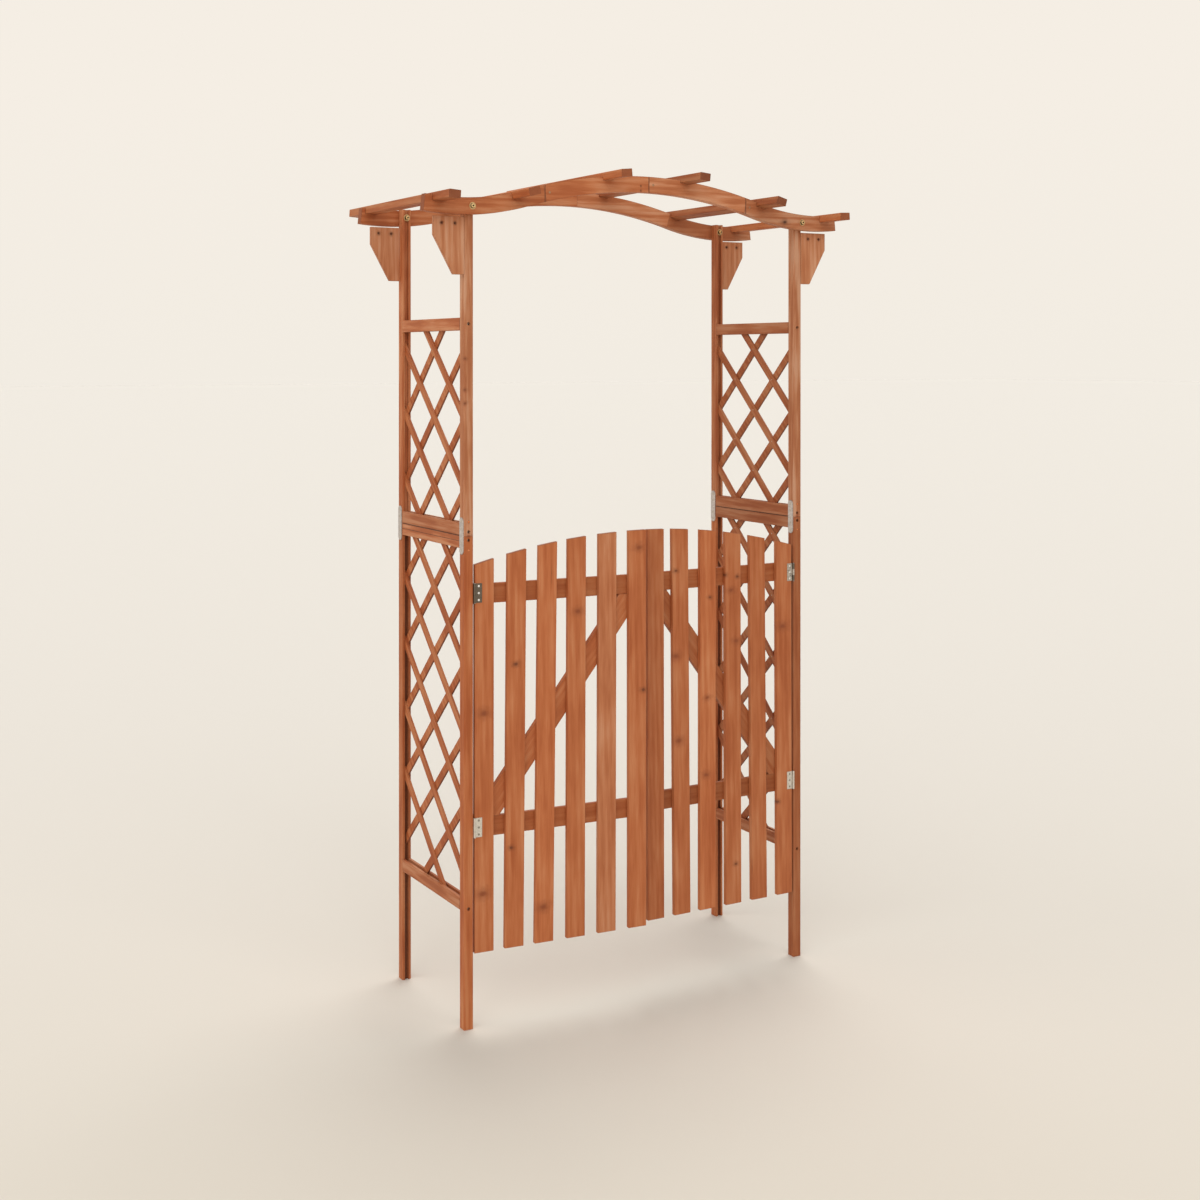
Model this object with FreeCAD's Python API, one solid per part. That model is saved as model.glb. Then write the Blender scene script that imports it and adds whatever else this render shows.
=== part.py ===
import FreeCAD, Part
import math
import os

# Wooden garden arch with a two-leaf gate, in millimetres.
# X runs to the right seen from the front, Y to the back, Z up. The origin lies
# on the ground under the middle of the arch.

# Frame sizes
OUTER_WIDTH = 1000.0
OUTER_DEPTH = 376.0
POST_SIZE = 24.0
POST_RISE_OVER_DIP = 22.0
LOWER_POST_HEIGHT = 1168.0
POST_ROUNDING = 2.0
RAIL_HEIGHT = 30.0
RAIL_ROUNDING = 1.5
RAIL_TONGUE = 5.6
BOTTOM_RAIL_LIFT = 279.0
TOP_RAIL_LIFT = 1655.0

# Lattice of crossed slats, held in grooves in the posts and rails
SLAT_WIDTH = 20.0
SLAT_THICKNESS = 4.5
SLAT_STEP = 167.0
GROOVE_PLAY = 0.4
GROOVE_DEPTH = 6.0
SLAT_END_PLAY = 0.4
UPPER_LATTICE_START = 41.0
UPPER_LATTICE_PAIRS = 4
LOWER_LATTICE_START = -59.0
LOWER_LATTICE_PAIRS = 6

# Curved beams along the front and the back
BEAM_THICKNESS = 20.0
BEAM_DEPTH = 40.0
BEAM_ROUNDING = 1.5
BEAM_OVERHANG = 113.0
CROWN_HEIGHT = 2022.0
CROWN_RADIUS = 1200.0
DIP_DROP = 76.0
DIP_OVERHANG = 30.0
BEAM_SEAM_SHARE = 0.486
BEAM_SEAM_SHIFT = 6.0
BEAM_LAP = 26.0

# How much shorter than the full span each beam is sawn, at its left and right ends
FRONT_BEAM_TRIMS = (0.0, 15.0)
BACK_BEAM_TRIMS = (10.0, 0.0)

# Battens let into the tops of the beams
BATTEN_OVERHANG = 87.0
BATTEN_WIDTH = 30.0
BATTEN_THICKNESS = 19.0
BATTEN_NOTCH_PLAY = 0.3
BATTEN_ROUNDING = 1.5
BATTEN_END_MARGIN = 43.5
BATTEN_SHIFT = -8.0

# Each batten from the left: its place as a share of the outermost one's reach,
# and how deep it is let into the beams
BATTEN_SHARES = (-1.0, -0.626, -0.182, 0.215, 0.626, 1.0)
BATTEN_DEPTHS = (13.0, 15.0, 9.0, 6.0, 9.0, 16.0)

# Corner brackets outside the posts
BRACKET_WIDTH = 80.0
BRACKET_THICKNESS = 8.0
BRACKET_GAP = 4.0
BRACKET_EDGE = 44.0
BRACKET_HEIGHT = 136.0
BRACKET_FOOT = 28.5
BRACKET_HOLE_RADIUS = 3.2
BRACKET_HOLE_DEPTH = 3.0
BRACKET_HOLE_DROP = 15.5
BRACKET_HOLE_REACHES = (24.0, 59.0)
DOWEL_RADIUS = 2.0
DOWEL_LENGTH = 30.0
DOWEL_PLAY = 0.05
DOWEL_DROPS = (32.0, 110.0)

# Flat steel plates that join the upper posts to the lower ones
PLATE_LENGTH = 88.0
PLATE_WIDTH = 20.0
PLATE_THICKNESS = 1.8
PLATE_SCREW_REACHES = (17.0, 34.0)

# Gate leaves
LEAF_GAP = 25.0
HINGE_SIDE_GAP = 4.0
PICKET_WIDTH = 49.0
PICKET_THICKNESS = 12.0
PICKET_ROUNDING = 1.5
PICKET_COUNT = 6
PICKET_BOTTOM = 173.5
GATE_CROWN_DROP = 10.0
GATE_ARC_RADIUS = 1784.0
GATE_RAIL_HEIGHT = 47.0
GATE_RAIL_THICKNESS = 12.0
GATE_BOTTOM_RAIL_LIFT = 444.0
GATE_TOP_RAIL_DROP = 168.0
BRACE_FOOTPRINT = 68.0
LEFT_LEAF_AJAR = 4.4
LEFT_LEAF_LIFT = 4.5

# How far each nailed picket strays inwards from even spacing, at foot and crown
LEFT_PICKET_STRAYS = ((-0.3, 0.6), (-4.2, 3.8), (-7.4, 3.6), (-4.1, -0.6), (-1.3, 1.2), (2.0, 1.5))
RIGHT_PICKET_STRAYS = ((0.5, 4.0), (0.8, 9.3), (1.6, 4.6), (0.9, 0.9), (-2.8, 5.2), (-4.5, -3.0))

# Butt hinges
HINGE_HEIGHT = 46.0
HINGE_LEAF_WIDTH = 19.5
HINGE_LEAF_THICKNESS = 1.1
KNUCKLE_RADIUS = 2.75
KNUCKLE_GAP = 0.3
KNUCKLE_CLEARANCE = 0.4
PIN_RADIUS = 1.3
PIN_CLEARANCE = 0.05
PIN_HEAD_RADIUS = 2.2
PIN_HEAD_HEIGHT = 0.8
HINGE_SCREW_REACH = 11.0
HINGE_SCREW_SPREAD = 16.5
HINGE_RISE_ON_RAIL = 4.0
RIGHT_TOP_HINGE_DROP = 5.0

# Screws: shank radius, head radius, head depth and length
HOLE_PLAY = 0.05
RAIL_SCREW = (2.0, 3.8, 2.4, 45.0)
RAIL_SCREW_RECESS = 8.0
RAIL_SCREW_JOINT_GAP = 10.0
BOTTOM_RAIL_SCREW_LIFT = 7.0
BATTEN_SCREW = (1.8, 3.6, 2.4, 38.0)
LAP_SCREW = (1.6, 3.0, 1.8, 17.0)
PLATE_SCREW = (1.5, 2.8, 1.6, 16.0)
GATE_SCREW = (1.6, 3.2, 2.0, 20.0)
GATE_SCREW_SPREAD = 9.0
HINGE_LEAF_SCREW = (1.4, 2.6, 1.4, 11.0)
HINGE_POST_SCREW = (1.4, 2.6, 1.4, 16.0)

# Bolts that hold the beams to the posts
BOLT_RADIUS = 3.0
BOLT_HOLE_PLAY = 0.2
BOLT_HEAD_RADIUS = 5.6
BOLT_HEAD_HEIGHT = 3.6
BOLT_HEAD_EASING = 1.2
BOLT_SOCKET_ACROSS = 4.0
BOLT_SOCKET_DEPTH = 2.2
BOLT_END = 2.0
WASHER_RADIUS = 8.5
WASHER_THICKNESS = 1.2
NUT_ACROSS = 10.0
NUT_HEIGHT = 5.0
NUT_PLAY = 0.05

# How far cutters run past what they cut
OVERCUT = 1.0

# Places that follow from the sizes above
POST_X = (OUTER_WIDTH - POST_SIZE) / 2
POST_Y = (OUTER_DEPTH - POST_SIZE) / 2
OPENING_HALF_WIDTH = OUTER_WIDTH / 2 - POST_SIZE
PANEL_HALF_DEPTH = OUTER_DEPTH / 2 - POST_SIZE
GROOVE_WIDTH = 2 * SLAT_THICKNESS + GROOVE_PLAY
TONGUE_WIDTH = GROOVE_WIDTH - GROOVE_PLAY
FRONT_FACE = -OUTER_DEPTH / 2
BEAM_HALF_SPAN = OUTER_WIDTH / 2 + BEAM_OVERHANG
CROWN_CENTRE = CROWN_HEIGHT - CROWN_RADIUS
DIP_REACH = OUTER_WIDTH / 2 + DIP_OVERHANG
DIP_RADIUS = (DIP_REACH ** 2 + DIP_DROP ** 2) / (2 * DIP_DROP) - CROWN_RADIUS
DIP_HEIGHT = CROWN_HEIGHT - DIP_DROP
DIP_CENTRE = DIP_HEIGHT + DIP_RADIUS
BEND_REACH = DIP_REACH * CROWN_RADIUS / (CROWN_RADIUS + DIP_RADIUS)
POST_HEIGHT = DIP_HEIGHT + POST_RISE_OVER_DIP
BRACKET_TOP = DIP_HEIGHT - BEAM_DEPTH / 2 - BRACKET_GAP
BATTEN_LENGTH = OUTER_DEPTH + 2 * (BEAM_THICKNESS + BATTEN_OVERHANG)
OUTER_BATTEN_REACH = BEAM_HALF_SPAN - BATTEN_END_MARGIN
LEAF_OUTER = OPENING_HALF_WIDTH - HINGE_SIDE_GAP
LEAF_INNER = LEAF_GAP / 2
PICKET_PITCH = (LEAF_OUTER - LEAF_INNER - PICKET_WIDTH) / (PICKET_COUNT - 1)
GATE_CROWN = LOWER_POST_HEIGHT - GATE_CROWN_DROP
GATE_TOP_RAIL_LIFT = LOWER_POST_HEIGHT - GATE_TOP_RAIL_DROP
PICKET_BACK = FRONT_FACE + PICKET_THICKNESS
GATE_BACK = PICKET_BACK + GATE_RAIL_THICKNESS
HINGE_X = OPENING_HALF_WIDTH - KNUCKLE_RADIUS
HINGE_Y = FRONT_FACE - KNUCKLE_RADIUS
HINGE_HEIGHTS = [lift + GATE_RAIL_HEIGHT / 2 + HINGE_RISE_ON_RAIL
                 for lift in (GATE_BOTTOM_RAIL_LIFT, GATE_TOP_RAIL_LIFT)]

SIDES = (("left", -1), ("right", 1))
FACES = (("front", -1), ("back", 1))

TO_RIGHT = FreeCAD.Vector(1, 0, 0)
TO_BACK = FreeCAD.Vector(0, 1, 0)
UP = FreeCAD.Vector(0, 0, 1)
ORIGIN = FreeCAD.Vector(0, 0, 0)


def box(x_low, x_high, y_low, y_high, z_low, z_high):
    corner = FreeCAD.Vector(x_low, y_low, z_low)
    return Part.makeBox(x_high - x_low, y_high - y_low, z_high - z_low, corner)


def eased(solid, along, radius):
    """Round the straight edges that run along one direction."""
    edges = []
    for edge in solid.Edges:
        run = edge.Vertexes[-1].Point - edge.Vertexes[0].Point
        if run.Length > 0 and run.cross(along).Length < 1e-6 * run.Length:
            edges.append(edge)
    return solid.makeFillet(radius, edges)


def prism(points, thickness):
    """A flat outline in the XZ plane, carried back along Y."""
    outline = Part.makePolygon(points + [points[0]])
    return Part.Face(outline).extrude(TO_BACK * thickness)


def turned(outline, place, direction):
    """A round solid: the outline gives its depth and radius, down from place."""
    points = [FreeCAD.Vector(radius, 0, depth) for depth, radius in outline]
    top = FreeCAD.Vector(0, 0, outline[0][0])
    bottom = FreeCAD.Vector(0, 0, outline[-1][0])
    section = Part.Face(Part.makePolygon([top] + points + [bottom, top]))
    solid = section.revolve(ORIGIN, UP, 360)
    turn = FreeCAD.Rotation(UP, direction)
    solid.Placement = FreeCAD.Placement(place, turn)
    return solid


def screw(kind, place, direction):
    """A countersunk screw whose head lies flush at place."""
    shank, head, head_depth, length = kind
    outline = [(0, head), (head_depth, shank), (length - shank, shank), (length, 0.2 * shank)]
    return turned(outline, place, direction)


def screw_hole(kind, place, direction, recess=OVERCUT):
    """The countersunk hole of a screw, open for recess above its head."""
    shank, head, head_depth, length = kind
    outline = [(-recess, head + HOLE_PLAY), (0, head + HOLE_PLAY),
               (head_depth, shank + HOLE_PLAY), (length + HOLE_PLAY, shank + HOLE_PLAY)]
    return turned(outline, place, direction)


def drilled(solid, holes):
    for hole in holes:
        if solid.BoundBox.intersect(hole.BoundBox):
            solid = solid.cut(hole)
    return solid


def mirrored(shape):
    """The same shape on the other side of the arch, left for right."""
    return shape.mirror(ORIGIN, TO_RIGHT)


def export(name, solids):
    shape = solids[0]
    if len(solids) > 1:
        shape = Part.makeCompound(solids)
    shape.exportStep("parts/" + name + ".step")


# Screws that hold the frame, with their holes

frame_screws = []
frame_holes = []


def frame_screw(kind, place, direction, recess=OVERCUT):
    frame_screws.append(screw(kind, place, direction))
    frame_holes.append(screw_hole(kind, place, direction, recess))


def rail_screws(side, face):
    """Sunk screws that run through a post into the ends of its four rails."""
    heights = (BOTTOM_RAIL_LIFT + BOTTOM_RAIL_SCREW_LIFT,
               LOWER_POST_HEIGHT - RAIL_SCREW_JOINT_GAP,
               LOWER_POST_HEIGHT + RAIL_SCREW_JOINT_GAP,
               TOP_RAIL_LIFT + RAIL_HEIGHT / 2)
    depth = OUTER_DEPTH / 2 - RAIL_SCREW_RECESS
    for height in heights:
        place = FreeCAD.Vector(side * POST_X, face * depth, height)
        frame_screw(RAIL_SCREW, place, TO_BACK * -face, RAIL_SCREW_RECESS + OVERCUT)


def plate_screws(side, face):
    """Screws of one splice plate, which lies on the left face of its post."""
    x = side * POST_X - POST_SIZE / 2 - PLATE_THICKNESS
    for reach in PLATE_SCREW_REACHES:
        for way in (-1, 1):
            place = FreeCAD.Vector(x, face * POST_Y, LOWER_POST_HEIGHT + way * reach)
            frame_screw(PLATE_SCREW, place, TO_RIGHT)


# Posts: grooved square sticks in two lengths, butted at the splice

def post(side, face, bottom, top):
    x = side * POST_X
    y = face * POST_Y
    half = POST_SIZE / 2
    stick = box(x - half, x + half, y - half, y + half, bottom, top)
    stick = eased(stick, UP, POST_ROUNDING)
    groove_floor = face * (PANEL_HALF_DEPTH + GROOVE_DEPTH)
    groove_mouth = face * (PANEL_HALF_DEPTH - OVERCUT)
    groove = box(x - GROOVE_WIDTH / 2, x + GROOVE_WIDTH / 2,
                 min(groove_floor, groove_mouth), max(groove_floor, groove_mouth),
                 bottom - OVERCUT, top + OVERCUT)
    return stick.cut(groove)


# Panel rails: grooved towards the lattice, tongued into the posts

def rail(side, bottom, groove_up):
    x = side * POST_X
    half = POST_SIZE / 2
    top = bottom + RAIL_HEIGHT
    stick = box(x - half, x + half, -PANEL_HALF_DEPTH, PANEL_HALF_DEPTH, bottom, top)
    stick = eased(stick, TO_BACK, RAIL_ROUNDING)
    reach = PANEL_HALF_DEPTH + RAIL_TONGUE
    tongue_bottom = bottom + (0 if groove_up else GROOVE_DEPTH)
    tongue_top = top - (GROOVE_DEPTH if groove_up else 0)
    tongue = box(x - TONGUE_WIDTH / 2, x + TONGUE_WIDTH / 2, -reach, reach,
                 tongue_bottom, tongue_top)
    stick = stick.fuse(tongue).removeSplitter()
    groove_bottom = top - GROOVE_DEPTH if groove_up else bottom - OVERCUT
    groove_top = top + OVERCUT if groove_up else bottom + GROOVE_DEPTH
    groove = box(x - GROOVE_WIDTH / 2, x + GROOVE_WIDTH / 2, -reach - OVERCUT, reach + OVERCUT,
                 groove_bottom, groove_top)
    return stick.cut(groove)


# Lattice: two layers of flat slats at 45 degrees, cut off in the grooves

def slat(x, layer, slope, centre_height, window):
    """One slat through the panel's middle line at centre_height."""
    half_run = OUTER_DEPTH
    strip = box(0, SLAT_THICKNESS, -half_run, half_run, -SLAT_WIDTH / 2, SLAT_WIDTH / 2)
    strip.rotate(ORIGIN, TO_RIGHT, 45.0 * slope)
    near_face = x - SLAT_THICKNESS if layer == "outer" else x
    strip.translate(FreeCAD.Vector(near_face, 0, centre_height))
    return strip.common(window)


def lattice(side, bottom, top, start, pairs):
    """Slats of one frame, from the highest crossing on the middle line down."""
    x = side * POST_X
    reach = PANEL_HALF_DEPTH + GROOVE_DEPTH - SLAT_END_PLAY
    sink = GROOVE_DEPTH - SLAT_END_PLAY
    window = box(x - POST_SIZE, x + POST_SIZE, -reach, reach, bottom - sink, top + sink)
    slats = []
    for pair in range(pairs):
        height = top - start - pair * SLAT_STEP
        slats.append(slat(x, "outer", 1, height, window))
        slats.append(slat(x, "inner", -1, height, window))
    return slats


# Splice plates: flat steel with round ends, one over each post joint

def splice_plate(side, face):
    x = side * POST_X - POST_SIZE / 2 - PLATE_THICKNESS
    y = face * POST_Y
    radius = PLATE_WIDTH / 2
    straight = PLATE_LENGTH / 2 - radius
    middle = LOWER_POST_HEIGHT
    plate = box(x, x + PLATE_THICKNESS, y - radius, y + radius,
                middle - straight, middle + straight)
    for way in (-1, 1):
        centre = FreeCAD.Vector(x, y, middle + way * straight)
        plate = plate.fuse(Part.makeCylinder(radius, PLATE_THICKNESS, centre, TO_RIGHT))
    return plate.removeSplitter()


# Curved beams: an arc over the opening that turns up again at both ends

def on_beam(x, rise=0.0):
    """The point rise above the beam's middle line, square to it."""
    if abs(x) <= BEND_REACH:
        lean = x / CROWN_RADIUS
        height = CROWN_CENTRE + math.sqrt(CROWN_RADIUS ** 2 - x ** 2)
    else:
        beyond = abs(x) - DIP_REACH
        lean = -math.copysign(beyond / DIP_RADIUS, x * beyond)
        height = DIP_CENTRE - math.sqrt(DIP_RADIUS ** 2 - beyond ** 2)
    upright = math.sqrt(1 - lean ** 2)
    return FreeCAD.Vector(x + rise * lean, 0, height + rise * upright)


def beam_normal(x):
    return on_beam(x, 1.0) - on_beam(x)


def beam_stretch(start, end, y, thickness):
    """A stretch of beam, cut off square to its middle line at both ends."""
    bends = [bend for bend in (-BEND_REACH, BEND_REACH) if start < bend < end]
    stops = [start] + bends + [end]
    edges = []
    for rise in (-BEAM_DEPTH / 2, BEAM_DEPTH / 2):
        for first, last in zip(stops, stops[1:]):
            middle = (first + last) / 2
            edges.append(Part.Arc(on_beam(first, rise), on_beam(middle, rise),
                                  on_beam(last, rise)).toShape())
    for x in (start, end):
        edges.append(Part.makeLine(on_beam(x, -BEAM_DEPTH / 2), on_beam(x, BEAM_DEPTH / 2)))
    outline = Part.Wire(Part.__sortEdges__(edges))
    solid = Part.Face(outline).extrude(TO_BACK * thickness)
    solid.translate(TO_BACK * y)
    return solid


def batten_places():
    """Where each batten crosses the beams, and how deep it is let in."""
    places = [BATTEN_SHIFT + share * OUTER_BATTEN_REACH for share in BATTEN_SHARES]
    return list(zip(places, BATTEN_DEPTHS))


def on_batten_seat(solid, x, depth):
    """Lean a solid made about the origin with the beam and set it on its seat."""
    solid.Placement = FreeCAD.Placement(on_beam(x, BEAM_DEPTH / 2 - depth),
                                        FreeCAD.Rotation(UP, beam_normal(x)))
    return solid


def batten(x, depth):
    half = BATTEN_WIDTH / 2
    stick = box(-half, half, -BATTEN_LENGTH / 2, BATTEN_LENGTH / 2, 0, BATTEN_THICKNESS)
    return on_batten_seat(eased(stick, TO_BACK, BATTEN_ROUNDING), x, depth)


def batten_notch(x, depth):
    half = BATTEN_WIDTH / 2 + BATTEN_NOTCH_PLAY
    cutter = box(-half, half, -OUTER_DEPTH, OUTER_DEPTH, 0, depth + BEAM_DEPTH / 2)
    return on_batten_seat(cutter, x, depth)


def beam_seams():
    reach = BEAM_SEAM_SHARE * BEAM_HALF_SPAN
    return [BEAM_SEAM_SHIFT + step * reach for step in (-1, 0, 1)]


def beam_segments(trims, notches):
    """The lengths of a beam at the front: outer half as seen, inner half one lap on."""
    half = BEAM_THICKNESS / 2
    outer = FRONT_FACE - BEAM_THICKNESS
    left_end = trims[0] - BEAM_HALF_SPAN
    right_end = BEAM_HALF_SPAN - trims[1]
    stops = [left_end] + beam_seams() + [right_end]
    inner_stops = [left_end] + [seam + BEAM_LAP for seam in beam_seams()] + [right_end]
    segments = []
    for number in range(len(stops) - 1):
        segment = beam_stretch(stops[number], stops[number + 1], outer, half)
        segment = segment.fuse(beam_stretch(inner_stops[number], inner_stops[number + 1],
                                            outer + half, half))
        segments.append(drilled(segment.removeSplitter(), notches))
    return segments


# Bolts with washers and nuts, through the beams and the tops of the posts

def hexagon(across, height):
    points = []
    for corner in range(6):
        angle = math.radians(60 * corner)
        radius = across / math.sqrt(3)
        points.append(FreeCAD.Vector(radius * math.cos(angle), radius * math.sin(angle), 0))
    return Part.Face(Part.makePolygon(points + [points[0]])).extrude(UP * height)


def bolt_set():
    """One bolt, two washers and a nut along +Z, the outer face of the beam at 0."""
    grip = BEAM_THICKNESS + POST_SIZE
    head_top = -WASHER_THICKNESS - BOLT_HEAD_HEIGHT
    end = grip + WASHER_THICKNESS + NUT_HEIGHT + BOLT_END
    crown = BOLT_HEAD_RADIUS - BOLT_HEAD_EASING
    bolt = turned([(head_top, crown), (head_top + BOLT_HEAD_EASING, BOLT_HEAD_RADIUS),
                   (-WASHER_THICKNESS, BOLT_HEAD_RADIUS), (-WASHER_THICKNESS, BOLT_RADIUS),
                   (end, BOLT_RADIUS)], ORIGIN, UP)
    socket = hexagon(BOLT_SOCKET_ACROSS, BOLT_SOCKET_DEPTH + OVERCUT)
    socket.translate(UP * (head_top - OVERCUT))
    pieces = [bolt.cut(socket)]
    for bottom in (-WASHER_THICKNESS, grip):
        washer = Part.makeCylinder(WASHER_RADIUS, WASHER_THICKNESS, UP * bottom)
        hole = Part.makeCylinder(BOLT_RADIUS + BOLT_HOLE_PLAY, WASHER_THICKNESS + 2 * OVERCUT,
                                 UP * (bottom - OVERCUT))
        pieces.append(washer.cut(hole))
    nut = hexagon(NUT_ACROSS, NUT_HEIGHT)
    nut.translate(UP * (grip + WASHER_THICKNESS))
    bore = Part.makeCylinder(BOLT_RADIUS + NUT_PLAY, NUT_HEIGHT + 2 * OVERCUT,
                             UP * (grip + WASHER_THICKNESS - OVERCUT))
    pieces.append(nut.cut(bore))
    return pieces


def bolt_place(side, face):
    height = on_beam(side * POST_X).z
    outer = face * (OUTER_DEPTH / 2 + BEAM_THICKNESS)
    return FreeCAD.Vector(side * POST_X, outer, height)


def placed_bolts(side, face):
    pieces = bolt_set()
    for piece in pieces:
        piece.Placement = FreeCAD.Placement(bolt_place(side, face),
                                            FreeCAD.Rotation(UP, TO_BACK * -face))
    return pieces


def bolt_hole(side, face):
    length = BEAM_THICKNESS + POST_SIZE + 2 * OVERCUT
    start = bolt_place(side, face) + TO_BACK * (face * OVERCUT)
    return Part.makeCylinder(BOLT_RADIUS + BOLT_HOLE_PLAY, length, start, TO_BACK * -face)


# Corner brackets: thin boards dowelled to the outer sides of the posts

def front_right_bracket():
    """A board with two shallow holes near its top on either face."""
    inner = OUTER_WIDTH / 2
    outer = inner + BRACKET_WIDTH
    bottom = BRACKET_TOP - BRACKET_HEIGHT
    points = [FreeCAD.Vector(inner, FRONT_FACE, bottom),
              FreeCAD.Vector(inner + BRACKET_FOOT, FRONT_FACE, bottom),
              FreeCAD.Vector(outer, FRONT_FACE, BRACKET_TOP - BRACKET_EDGE),
              FreeCAD.Vector(outer, FRONT_FACE, BRACKET_TOP),
              FreeCAD.Vector(inner, FRONT_FACE, BRACKET_TOP)]
    board = prism(points, BRACKET_THICKNESS)
    for reach in BRACKET_HOLE_REACHES:
        for face, way in ((FRONT_FACE, 1), (FRONT_FACE + BRACKET_THICKNESS, -1)):
            start = FreeCAD.Vector(inner + reach, face - way * OVERCUT,
                                   BRACKET_TOP - BRACKET_HOLE_DROP)
            hole = Part.makeCylinder(BRACKET_HOLE_RADIUS, BRACKET_HOLE_DEPTH + OVERCUT,
                                     start, TO_BACK * way)
            board = board.cut(hole)
    return board


def front_right_dowels(radius, length):
    dowels = []
    for drop in DOWEL_DROPS:
        start = FreeCAD.Vector(OUTER_WIDTH / 2 - length / 2,
                               FRONT_FACE + BRACKET_THICKNESS / 2, BRACKET_TOP - drop)
        dowels.append(Part.makeCylinder(radius, length, start, TO_RIGHT))
    return dowels


def at_corner(shape, side, face):
    """Carry a shape made at the front right corner to another corner."""
    if side < 0:
        shape = mirrored(shape)
    if face > 0:
        shape = shape.mirror(ORIGIN, TO_BACK)
    return shape


# Gate leaves, made closed on the left and carried to their places at the end

def gate_top(x):
    return GATE_CROWN - GATE_ARC_RADIUS + math.sqrt(GATE_ARC_RADIUS ** 2 - x ** 2)


def picket_start(number, strays, height):
    """The hinge-side edge of one picket, counted from the hinges, at a height."""
    at_foot, at_crown = strays[number]
    along = (height - PICKET_BOTTOM) / (GATE_CROWN - PICKET_BOTTOM)
    stray = at_foot + along * (at_crown - at_foot)
    return -LEAF_OUTER + number * PICKET_PITCH + stray


def picket(number, strays):
    foot = picket_start(number, strays, PICKET_BOTTOM)
    crown = picket_start(number, strays, GATE_CROWN)
    lean = FreeCAD.Vector(crown - foot, 0, GATE_CROWN - PICKET_BOTTOM)
    points = [FreeCAD.Vector(foot, FRONT_FACE, PICKET_BOTTOM),
              FreeCAD.Vector(foot + PICKET_WIDTH, FRONT_FACE, PICKET_BOTTOM)]
    for edge in (crown + PICKET_WIDTH, crown):
        height = gate_top(edge)
        short = (GATE_CROWN - height) / lean.z
        points.append(FreeCAD.Vector(edge - short * lean.x, FRONT_FACE, height))
    return eased(prism(points, PICKET_THICKNESS), lean, PICKET_ROUNDING)


def gate_rail(bottom, strays):
    """A rail from the hinge side to the inner edge of the last picket."""
    inner = picket_start(PICKET_COUNT - 1, strays, bottom) + PICKET_WIDTH
    board = box(-LEAF_OUTER, inner, PICKET_BACK, GATE_BACK,
                bottom, bottom + GATE_RAIL_HEIGHT)
    return eased(board, TO_RIGHT, PICKET_ROUNDING)


def brace():
    """From the lower rail at the hinge side to the upper rail at the other."""
    low = GATE_BOTTOM_RAIL_LIFT + GATE_RAIL_HEIGHT
    high = GATE_TOP_RAIL_LIFT
    points = [FreeCAD.Vector(-LEAF_OUTER, PICKET_BACK, low),
              FreeCAD.Vector(-LEAF_OUTER + BRACE_FOOTPRINT, PICKET_BACK, low),
              FreeCAD.Vector(-LEAF_INNER, PICKET_BACK, high),
              FreeCAD.Vector(-LEAF_INNER - BRACE_FOOTPRINT, PICKET_BACK, high)]
    return prism(points, GATE_RAIL_THICKNESS)


def gate_screw_places(strays):
    """Two screws where a picket meets a rail, one where it meets the brace."""
    rail_middles = [lift + GATE_RAIL_HEIGHT / 2
                    for lift in (GATE_BOTTOM_RAIL_LIFT, GATE_TOP_RAIL_LIFT)]
    brace_low = GATE_BOTTOM_RAIL_LIFT + GATE_RAIL_HEIGHT
    brace_rise = GATE_TOP_RAIL_LIFT - brace_low
    brace_run = LEAF_OUTER - LEAF_INNER - BRACE_FOOTPRINT
    places = []
    for number in range(PICKET_COUNT):
        for height in rail_middles:
            middle = picket_start(number, strays, height) + PICKET_WIDTH / 2
            places.append(FreeCAD.Vector(middle - GATE_SCREW_SPREAD, GATE_BACK, height))
            places.append(FreeCAD.Vector(middle + GATE_SCREW_SPREAD, GATE_BACK, height))
        middle = -LEAF_OUTER + number * PICKET_PITCH + PICKET_WIDTH / 2
        along = (middle + LEAF_OUTER - BRACE_FOOTPRINT / 2) / brace_run
        if 0 < along < 1:
            places.append(FreeCAD.Vector(middle, GATE_BACK, brace_low + along * brace_rise))
    return places


# Hinges: local +X runs along the leaf, +Y to the face it is screwed to

def hinge_leaf(spans):
    """A leaf whose knuckles fill the given spans of height, bored for the pin."""
    half = HINGE_HEIGHT / 2
    root = KNUCKLE_RADIUS + KNUCKLE_CLEARANCE
    back = KNUCKLE_RADIUS
    front = KNUCKLE_RADIUS - HINGE_LEAF_THICKNESS
    touch = math.sqrt(KNUCKLE_RADIUS ** 2 - front ** 2)
    leaf = box(root, HINGE_LEAF_WIDTH, front, back, -half, half)
    for low, high in spans:
        start = FreeCAD.Vector(0, back, low)
        end = FreeCAD.Vector(touch, front, low)
        below = FreeCAD.Vector(0, -KNUCKLE_RADIUS, low)
        inner = FreeCAD.Vector(root, front, low)
        outer = FreeCAD.Vector(root, back, low)
        roll = [Part.Arc(start, below, end).toShape(), Part.makeLine(end, inner),
                Part.makeLine(inner, outer), Part.makeLine(outer, start)]
        knuckle = Part.Face(Part.Wire(roll)).extrude(UP * (high - low))
        leaf = leaf.fuse(knuckle)
    leaf = leaf.removeSplitter()
    bore = Part.makeCylinder(PIN_RADIUS + PIN_CLEARANCE, HINGE_HEIGHT + 2 * OVERCUT,
                             UP * (-half - OVERCUT))
    return leaf.cut(bore)


def hinge_pin():
    half = HINGE_HEIGHT / 2
    outline = [(-half - PIN_HEAD_HEIGHT, PIN_HEAD_RADIUS), (-half, PIN_HEAD_RADIUS),
               (-half, PIN_RADIUS), (half, PIN_RADIUS),
               (half, PIN_HEAD_RADIUS), (half + PIN_HEAD_HEIGHT, PIN_HEAD_RADIUS)]
    return turned(outline, ORIGIN, UP)


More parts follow.
